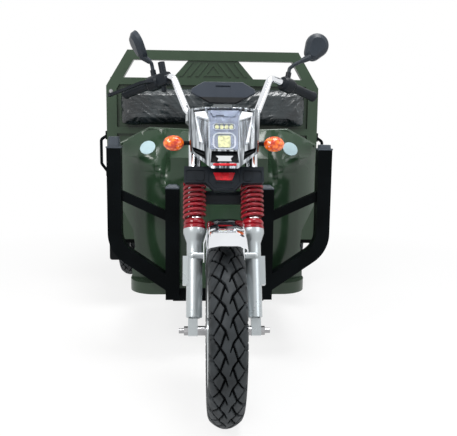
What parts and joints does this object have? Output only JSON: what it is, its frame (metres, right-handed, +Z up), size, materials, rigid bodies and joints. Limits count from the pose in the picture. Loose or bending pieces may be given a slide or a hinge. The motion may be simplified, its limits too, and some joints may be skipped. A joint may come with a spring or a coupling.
{
  "type": "electric cargo tricycle",
  "caption": "Three-wheeled electric cargo scooter with a sprung fork, leg shields, bench seat and a drop-side cargo bed.",
  "frame": {"origin": "on the ground under the middle of the overall box", "axes": "the vehicle faces -Y, +X is its left side, +Z is up"},
  "size_m": [1.074, 2.754, 1.15],
  "materials": {
    "fork_silver": "semi-gloss",
    "chrome": "polished",
    "spring_red": "gloss",
    "plastic_black": "satin",
    "plastic_grey": "satin",
    "mirror": "polished",
    "steel": "satin",
    "tyre": "matt",
    "clear": "gloss",
    "lamp_white": "gloss",
    "lamp_silver": "gloss",
    "cowl_silver": "gloss",
    "led_yellow": "gloss",
    "screen": "gloss",
    "amber": "gloss",
    "lamp_red": "gloss",
    "paint_green": "gloss",
    "gloss_green": "gloss",
    "paint_black": "gloss",
    "leather": "satin"
  },
  "bodies": {
    "chassis": {"chassis_frame": "paint_black", "steering_head": "paint_black", "floor_pan": "paint_green", "leg_shields": "gloss_green", "column_cover": "gloss_green", "crash_bars": "paint_black", "seat_base": "paint_green", "bar_caps": "plastic_grey", "battery_block": "plastic_black", "headboard": "paint_green", "backrest": "leather", "bed_floor": "paint_green", "bed_hardware": "paint_black", "rear_axle": "paint_black", "leaf_springs": "paint_black", "rear_mudguards": "plastic_black", "tail_bar": "paint_black", "tail_lamps": "lamp_red", "brake_pedal": "steel", "side_box": "plastic_black"},
    "steering": {"fork_sliders": "fork_silver", "fork_stanchions": "chrome", "fork_springs": "spring_red", "steering_yokes": "fork_silver", "handlebar": "chrome", "hand_controls": "plastic_black", "mirrors": "plastic_black", "mirror_glass": "mirror", "front_fender": "chrome", "front_axle": "steel", "yoke_shroud": "plastic_black", "headlamp_cowl": "cowl_silver", "headlamp_lens": "clear", "front_reflectors": "lamp_red", "lamp_housing": "lamp_silver", "cowl_grilles": "plastic_black", "signal_stalks": "plastic_black", "lamp_trim": "chrome", "lamp_leds": "led_yellow", "light_guides": "lamp_white", "display": "screen", "instrument_pod": "plastic_grey", "front_signals": "amber"},
    "front_wheel": {"front_tyre": "tyre", "front_rim": "fork_silver"},
    "rear_wheel_left": {"rear_tyre_left": "tyre", "rear_rim_left": "paint_black"},
    "rear_wheel_right": {"rear_tyre_right": "tyre", "rear_rim_right": "paint_black"},
    "seat": {"seat_lid": "plastic_black", "seat_cushion": "leather"},
    "drop_side_left": {"side_panel_left": "paint_green"},
    "drop_side_right": {"side_panel_right": "paint_green"},
    "tailgate": {"tailgate": "paint_green"}
  },
  "joints": [
    {"name": "steering", "type": "hinge", "parent": "chassis", "child": "steering", "pos_m": [0, -1.08828, 0.23854], "axis": [0, 0.4067, 0.9135], "range_deg": [-38, 38]},
    {"name": "front_wheel_spin", "type": "hinge", "parent": "steering", "child": "front_wheel", "pos_m": [0, -1.123, 0.254], "axis": [1, 0, 0], "continuous": true},
    {"name": "rear_wheel_left_spin", "type": "hinge", "parent": "chassis", "child": "rear_wheel_left", "pos_m": [0.43, 0.577, 0.254], "axis": [1, 0, 0], "continuous": true},
    {"name": "rear_wheel_right_spin", "type": "hinge", "parent": "chassis", "child": "rear_wheel_right", "pos_m": [-0.43, 0.577, 0.254], "axis": [1, 0, 0], "continuous": true},
    {"name": "drop_side_left_hinge", "type": "hinge", "parent": "chassis", "child": "drop_side_left", "pos_m": [0.505, 0.577, 0.588], "axis": [0, 1, 0], "range_deg": [0, 175]},
    {"name": "drop_side_right_hinge", "type": "hinge", "parent": "chassis", "child": "drop_side_right", "pos_m": [-0.505, 0.577, 0.588], "axis": [0, -1, 0], "range_deg": [0, 175]},
    {"name": "tailgate_hinge", "type": "hinge", "parent": "chassis", "child": "tailgate", "pos_m": [0, 1.372, 0.588], "axis": [-1, 0, 0], "range_deg": [0, 175]},
    {"name": "seat_lid_hinge", "type": "hinge", "parent": "chassis", "child": "seat", "pos_m": [0, -0.128, 0.638], "axis": [1, 0, 0], "range_deg": [0, 80]}
  ]
}
